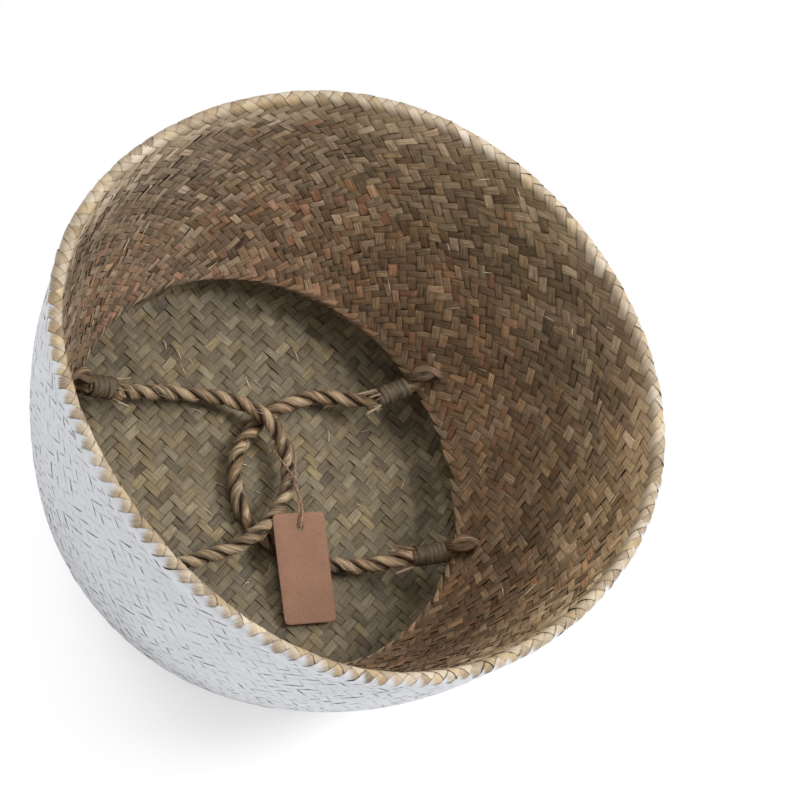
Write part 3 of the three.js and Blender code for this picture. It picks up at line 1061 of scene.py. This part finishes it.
def laidStrands(path, cord):
    # Two strands laid round each other, each one flattened against the other
    sides, ups = carriedFrames(path)
    gone = distances(path)
    knots = np.arange(0, gone[-1] + 0.022, 0.011)
    uneven = np.interp(gone, knots, draw(-0.35, 0.35, len(knots)))
    made = []
    for k, tone in enumerate(cord["tones"]):
        outward = spokes(sides, ups, (gone / cord["lay"] + k / 2) * math.tau + uneven)
        strand = path + outward * cord["offset"]
        ahead = unit(np.gradient(strand, axis=0))
        outward = unit(outward - ahead * (outward * ahead).sum(axis=1)[:, None])
        frames = (outward, np.cross(ahead, outward))
        shape = cord["grooves"], cord["flat"], 0, frames, cord["shade"]
        made.append(tubeMesh(strand, cord["radius"], cord["around"], tone, *shape))
    return made


def hingePlace(side, end):
    return handles["hinge"][side], end * handles["half"], handles["hingeHeight"]


def endFrame(side, end):
    facing = math.pi if side == "right" else 0
    if (side, end) == ("right", 1):
        facing += handles["askew"]
    turn = Matrix.Rotation(facing, 4, "Z") @ Matrix.Rotation(handles["tilt"], 4, "Y")
    return Matrix.Translation(hingePlace(side, end)) @ turn


def carried(matrix, points):
    turn = np.array(matrix.to_3x3())
    return points @ turn.T + np.array(matrix.translation)


def onEnd(side, end, distance):
    return tuple(endFrame(side, end) @ Vector((distance, 0, 0)))


def eyeStrands(side, end):
    middle = np.array(hingePlace(side, end))
    inward = handles["inward"][side]
    made = []
    for k in range(2):
        def place(along, angle, k=k):
            ring = eye["start"] - handles["tilt"] + along * eye["sweep"]
            lie = along * math.tau * eye["twist"] + k * math.pi + 0.6
            turn = angle * math.tau
            ridge = 1 + 0.05 * np.sin(7 * turn + along * 16) + 0.04 * np.sin(4 * turn - along * 23 + k)
            reach = eye["radius"] + eye["sway"] * np.sin(lie) + eye["thick"] * np.cos(turn) * ridge
            level = eye["width"] * np.cos(lie) + eye["wide"] * np.sin(turn) * ridge
            out, up = polar(reach, ring)
            return stacked(inward * out, level, up) + middle

        mesh = gridMesh(72, 22, place, capped=True, reach=5.0)
        corners = cornersOf(mesh) - middle
        reach = np.hypot(corners[:, 0], corners[:, 2]) - eye["radius"]
        # Painted shade in the groove where the two strands meet along the middle of the eye
        wide, high = eye["grooveShade"]
        grooveShade = np.clip(1 - np.abs(corners[:, 1]) / wide, 0, 1)
        grooveShade = grooveShade * np.clip(1 - np.abs(reach) / high, 0, 1)
        setAttributes(mesh, tone=eye["tones"][side][k] - 0.8 * grooveShade, spot=rng.random())
        useSecondFinish(mesh)
        made.append(mesh)
    return made


def throat(frameHere, thick):
    # Where the two legs of an eye come together under the first turns
    start, length, thin = handles["throat"]

    def place(along, angle):
        turn = angle * math.tau
        size = thin + (thick * 0.93 - thin) * along**0.4
        size = size * (1 + 0.07 * np.sin(6 * turn + along * 3))
        return carried(frameHere, stacked(start + along * length, *polar(size, turn)))

    mesh = gridMesh(8, 24, place, capped=True)
    setAttributes(mesh, tone=0.35, spot=rng.random())
    return mesh


def frayedEnds(frameHere, outward, thick):
    # Thin cut ends that stick out from under the binding along the rope
    made = []
    t = np.linspace(0, 1, 6)
    for k in range(frayed["count"]):
        stiff = k < frayed["stiff"]
        turn = outward * (math.pi / 2 + (0.5 - k) * 2.4) if stiff else draw(0, math.tau)
        reach, splay = draw(*frayed["reach"][stiff]), draw(*frayed["splay"][stiff])
        sag = draw(-0.1, 0.1)
        out = thick * 0.97 + reach * t * splay
        along = handles["boundEnd"] + frayed["start"] + reach * t
        tail = carried(frameHere, stacked(along, *polar(out, turn + sag * t)))
        radius = frayed["stiffRadius"] if stiff else draw(*frayed["radius"])
        tone = frayed["stiffTone"] if stiff else draw(*frayed["tone"])
        made.append(tubeMesh(tail, radius, 6, tone, 0.1, 0.5))
    return made


def cutTails(frameHere, outward):
    # The strands' own cut ends, which leave the binding on the outer side
    made = []
    for k in range(tails["count"]):
        sizes = (tails[name] for name in ("lean", "length", "aside", "height"))
        lean, length, aside, height = (first + step * k for first, step in sizes)
        lean = math.radians(lean) * outward
        reach = length * np.linspace(0, 1, 8)
        aside = aside * outward + reach * math.sin(lean)
        tail = stacked(handles["boundEnd"] + tails["start"] + reach, aside, height)
        tone = draw(0.4, 0.9)
        made.append(tubeMesh(carried(frameHere, tail), tails["radius"], 10, tone, 0.08, 0.7))
    return made


def boundEnds(side):
    made = []
    start, finish = handles["boundStart"], handles["boundEnd"]
    thick = handles["boundRadius"][side]
    for end in (1, -1):
        frameHere = endFrame(side, end)
        outward = -end * handles["inward"][side]
        core = carried(frameHere, stacked(start + (finish - start) * np.arange(9) / 8, 0, 0))
        made += [tubeMesh(core, thick * 0.95, 18, 0.4, 0.03), throat(frameHere, thick)]
        made += cutTails(frameHere, outward)
        made += frayedEnds(frameHere, outward, thick)
        made += eyeStrands(side, end)
    return made


def looseFibres(path):
    sides, ups = carriedFrames(path)
    made = []
    for _ in range(handles["fibres"]):
        first = int(draw(*handles["fibreSpan"]) * len(path))
        steps = int(draw(*handles["fibreSteps"]))
        run = first + np.arange(steps + 1)
        turn = draw(0, math.tau) + np.linspace(0, draw(-0.9, 0.9), steps + 1)
        rise = np.linspace(0, 1, steps + 1) ** 2 * draw(*handles["fibreRise"])
        rise = handles["fibreStart"] + rise
        fibre = path[run] + spokes(sides[run], ups[run], turn) * rise[:, None]
        made.append(tubeMesh(fibre, draw(*handles["fibreRadius"]), 5, draw(0.5, 1.4), 0.1, 1, 0.6))
    return made


def layHandle(side, route):
    inside = (handles["boundStart"] + handles["boundEnd"]) / 2
    past = handles["boundEnd"] + handles["past"]
    upper, lower = ([onEnd(side, end, distance) for distance in (inside, past)] for end in (1, -1))
    whole = upper + route + lower[::-1]
    path, length = smoothPath(whole, handles["spacing"])
    strands = laidStrands(path, handles)
    body, node = f"{side}_handle", f"{side}_handle_rope"
    fibres = addPiece(f"{side}Fibres", looseFibres(path), ["rope"], body, None)
    ends = addPiece(f"{side}Ends", boundEnds(side), ["rope", "eye"], body, node)
    rope = addPiece(f"{side}Rope", strands, ["rope"], body, node)
    print(side, "rope", round(length, 4))


binding = {
    "start": 0.0114,
    "turns": 6,
    "pitch": 0.0030,
    "width": 0.0032,
    "thickness": 0.0011,
    "proud": 0.0006,
}


def bindEnd(side, end, name, node):
    frameHere = endFrame(side, end)
    uneven = draw(-0.00028, 0.00028, 40)
    turns, width = binding["turns"], binding["width"]

    def rounded(share, power):
        return np.sign(share) * np.abs(share) ** power

    def place(along, angle):
        wound = along * (turns + 0.5) - 0.25
        turn, edge = wound * math.tau, angle * math.tau
        lift = np.interp(wound * 6, np.arange(40), uneven)
        flatAcross = rounded(np.cos(edge), 0.4) * width / 2
        flatOut = rounded(np.sin(edge), 0.5) * binding["thickness"] / 2
        tuck = np.maximum(0, np.abs(along * 2 - 1) - 0.95) * 0.018
        reach = handles["boundRadius"][side] + binding["proud"] + flatOut + lift * 0.8 - tuck
        middle = binding["start"] + width / 2 + binding["pitch"] * np.clip(wound, -0.1, turns + 0.1)
        return carried(frameHere, stacked(middle + flatAcross + lift, *polar(reach, turn)))

    mesh = gridMesh(170, 16, place, capped=True, reach=22)
    setAttributes(mesh, tone=draw(0.35, 0.6), spot=rng.random())
    addPiece(name, [mesh], ["binding"], f"{side}_handle", node)


layHandle("left", leftRoute)
layHandle("right", rightRoute)
for handleSide in ("left", "right"):
    bindEnd(handleSide, 1, f"{handleSide}UpperBinding", f"{handleSide}_upper_whipping")
    bindEnd(handleSide, -1, f"{handleSide}LowerBinding", f"{handleSide}_lower_whipping")
print("handles laid and bound")


# Twine, knotted round the left rope, and the card tag on it

twine = {
    "diameter": 0.0014,
    "spacing": 0.0004,
    "radius": 0.00042,
    "flat": 1.0,
    "offset": 0.00034,
    "shade": 0,
    "lay": 0.0042,
    "around": 8,
    "grooves": 0.05,
    "tones": (0.5, 0.8),
    "knotRing": 0.00125,
    "knotStrand": 0.00062,
    "knot": (0.0212, -0.0016, 0.0230),
    "turn": metres(
        (20.2, 1.6, 23), (18.5, 8, 20.9), (16.9, 16, 17.4), (16.9, 23, 13.9), (20.7, 27.6, 12),
        (25.7, 28, 14.8), (27.7, 25, 18.7), (27, 17, 21.4), (24.4, 8, 22.1), (22.4, 1.6, 23),
    ),
    "legs": metres(
        (20.3, -4.4, 23.4), (20.3, -12, 25.4), (19.6, -20, 27.4), (18.5, -26.5, 28), (17, -31.9, 26.7),
        (16.7, -33.6, 23.8), (17, -30.8, 22), (18.7, -24.5, 23), (20.9, -16, 22.6), (22, -9.5, 22.3),
        (22.2, -4.4, 22.6),
    ),
}


def tieTwine(name, route, body, node, knots=()):
    path, length = smoothPath(route, twine["spacing"])
    piece = addPiece(name, laidStrands(path, twine), ["twine"], body, node)


def addKnot():
    made = []
    for lean in (0.5, -0.6, 1.4):
        def place(along, angle, lean=lean):
            ring, turn = along * math.tau, angle * math.tau
            reach = twine["knotRing"] + twine["knotStrand"] * np.cos(turn)
            x, z = polar(reach, ring)
            spots = stacked(x, twine["knotStrand"] * np.sin(turn), z)
            turned = Matrix.Rotation(lean, 3, "Z") @ Matrix.Rotation(lean * 0.7, 3, "X")
            return spots @ np.array(turned).T + np.array(twine["knot"])

        mesh = gridMesh(20, 8, place)
        setAttributes(mesh, tone=0.5, spot=0.3)
        made.append(mesh)
    return addPiece("twineKnot", made, ["twine"], "left_handle", "tag_twine_turn")


tieTwine("twineTurn", twine["turn"], "left_handle", "tag_twine_turn", [addKnot()])
tieTwine("twineLegs", twine["legs"], "tag", "tag_twine_legs")

card = {
    "width": 0.036,
    "length": 0.068,
    "thickness": 0.0008,
    "corner": 0.003,
    "hole": 0.0022,
    "inset": 0.009,
    "place": (0.0168, -0.0336, 0.0233),
    "slope": math.radians(15),
    "turn": math.radians(2),
    "bow": 0.0003,
}


def cutCard():
    # The outline is wound round the punched hole, so the same loops make both edges
    half, top, corner = card["width"] / 2, card["inset"], card["corner"]
    bottom = top - card["length"]
    outline = []
    for x, y, start in ((1, top, 0), (-1, top, 90), (-1, bottom, 180), (1, bottom, 270)):
        angle = np.radians(start + np.linspace(0, 90, 7))
        inner = (x * (half - corner), y - math.copysign(corner, y))
        outline.append(stacked(*polar(corner, angle)) + inner)
    outline = np.concatenate([*outline, outline[0][:1]])
    gone = distances(outline)
    # How far out from the hole and how high, once over the top, round the edge and back below
    shares = (0, 0.04, 0.3, 0.65, 0.985, 1, 1, 0.985, 0.65, 0.3, 0.04, 0, 0)
    levels = (0.85, 1, 1, 1, 1, 0.85, 0.15, 0, 0, 0, 0, 0.15, 0.85)

    def place(turn, edge):
        x, y = (np.interp(turn * gone[-1], gone, column) for column in outline.T)
        holeX, holeY = polar(card["hole"], np.arctan2(y, x))
        share, level = picked(list(zip(shares, levels)), edge)
        x, y = holeX * (1 - share) + x * share, holeY * (1 - share) + y * share
        bow = card["bow"] * (1 - (x / half) ** 2) + card["bow"] * 0.6 * np.sin(y / card["length"] * 5)
        return stacked(x, y, level * card["thickness"] + bow * share)

    mesh = gridMesh(120, len(shares) - 1, place)
    lie = Matrix.Rotation(card["turn"], 4, "Z") @ Matrix.Rotation(card["slope"], 4, "X")
    mesh.transform(Matrix.Translation(card["place"]) @ lie)
    addPiece("cardTag", [mesh], ["card"], "tag", "hang_tag")


cutCard()
print("tag tied on")


# Dry slivers that have come loose from the weave, pale enough to stand in for painted highlights on
# loose fibres too

slivers = {
    "onMat": 34,
    "onWall": 40,
    "matReach": 0.118,
    "length": (0.003, 0.011),
    "radius": (0.00012, 0.0003),
    "lift": 0.0005,
}


def sliverMesh(run):
    return tubeMesh(run, draw(*slivers["radius"]), 5, draw(0.2, 1), 0.1, 0.6, 0.6)


def strewSlivers():
    made = []
    t = np.linspace(0, 1, 5)
    for _ in range(slivers["onMat"]):
        radius = slivers["matReach"] * math.sqrt(rng.random())
        turn, facing = draw(0, 6.28), draw(0, 6.28)
        reach = draw(*slivers["length"])
        bend = draw(-0.5, 0.5)
        x = radius * math.cos(turn) + reach * t * np.cos(facing + bend * t)
        y = radius * math.sin(turn) + reach * t * np.sin(facing + bend * t)
        z = basket["matThickness"] + 0.0006 + t * draw(0, 0.0016)
        made.append(sliverMesh(stacked(x, y, z)))
    for _ in range(slivers["onWall"]):
        strand, row = draw(0, basket["strands"]), draw(2, wall.neck - 2)
        reach, lean = draw(0.6, 2.0), rng.choice([-1, 1])
        lift = slivers["lift"] + t * draw(0.0002, 0.0015)
        made.append(sliverMesh(wall.at(strand + reach * t * 0.5, row + lean * reach * t * 0.5, lift)))
    addPiece("looseSlivers", made, ["sliver"], "basket", None)


strewSlivers()
print("slivers strewn")


# Floor, light and background

studio = {
    "floor": (0.93, 0.93, 0.93),
    "world": 0.62,
    "keyPower": 42,
    "keyPlace": (1.2, -0.3, 1.9),
    "keySize": 0.8,
    "fillPower": 19,
    "fillPlace": (-0.8, 0.9, 2.0),
    "fillSize": 1.5,
    "shadowPlace": (0.02, -0.10),
    "shadowReach": (0.08, 0.20),
    "shadowSoft": 0.55,
    "floorSize": 8,
    "floorHeight": -0.0002,
}


def floorFinish():
    # Plain white to the camera and to reflections, except near the basket, where its shadow shows
    finish = Finish("studio floor")
    finish.finished(studio["floor"], 0.9)
    middle = finish.vector(*studio["shadowPlace"])
    ends = {0: finish.objectPlace(), 1: middle}
    away = finish.node("VectorMath", {"operation": "DISTANCE"}, ends, out=1)
    white = finish.node("Emission", {}, {"Color": (1.0, 1.0, 1.0), "Strength": 1.0})
    share = finish.seen() * away.spread(*studio["shadowReach"], studio["shadowSoft"], 1)
    shown = finish.node("MixShader", {}, {0: share, 1: Wire(finish, finish.shader.outputs[0]), 2: white})
    finish.plug(finish.tree.nodes["Material Output"].inputs["Surface"], shown)
    return finish.material


def addFloor():
    def place(x, y):
        size = studio["floorSize"]
        return stacked((x - 0.5) * size, (y - 0.5) * size, studio["floorHeight"])

    mesh = gridMesh(2, 2, place, seams=False)
    mesh.materials.append(floorFinish())
    placed("floor", mesh)


def addLamp(name, power, place, size):
    lamp = bpy.data.lights.new(name, "AREA")
    lamp.energy = power
    lamp.size = size
    turn = Vector(place).to_track_quat("Z", "Y").to_matrix().to_4x4()
    placed(name, lamp, Matrix.Translation(place) @ turn)


def addWorld():
    world = bpy.data.worlds.new("studio")
    world.use_nodes = True
    sky = world.node_tree.nodes["Background"]
    sky.inputs["Color"].default_value = (1, 1, 1, 1)
    nodes = Nodes(world.node_tree)
    nodes.plug(sky.inputs["Strength"], nodes.seen() * (1 - studio["world"]) + studio["world"])
    bpy.context.scene.world = world


addFloor()
addLamp("key", studio["keyPower"], studio["keyPlace"], studio["keySize"])
addLamp("fill", studio["fillPower"], studio["fillPlace"], studio["fillSize"])
addWorld()
bpy.context.scene.view_settings.view_transform = "Standard"
print("studio lit")
